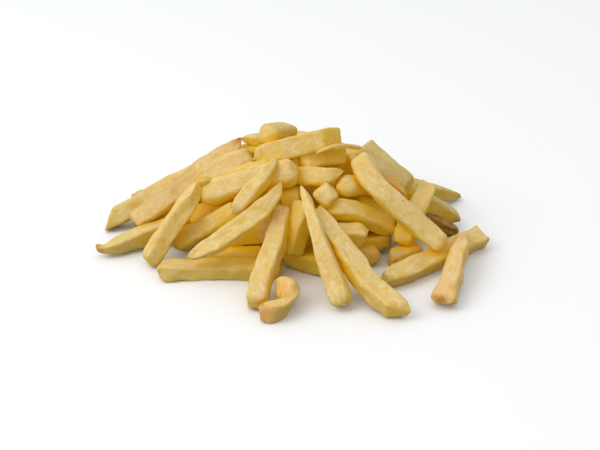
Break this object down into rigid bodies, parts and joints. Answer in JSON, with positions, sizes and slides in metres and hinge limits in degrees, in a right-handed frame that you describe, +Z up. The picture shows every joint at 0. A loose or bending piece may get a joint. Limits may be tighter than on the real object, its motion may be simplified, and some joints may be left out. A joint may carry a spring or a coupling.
{
  "type": "french fries portion",
  "caption": "Loose heap of thick-cut pale golden french fries on a flat surface, with leaning and crossing sticks and a curled offcut in front; a side dish to set on a plate, tray or table.",
  "frame": {"origin": "middle of the heap's footprint, on the surface it lies on", "axes": "+Z up; +X along the heap's long side, to the right as seen from the front; -Y is the front"},
  "size_m": [0.1848, 0.1491, 0.0557],
  "materials": {
    "fried_potato": "pale golden fried potato, slightly oily, semi-matte"
  },
  "bodies": {
    "root": {"fries": "fried_potato"}
  },
  "joints": []
}
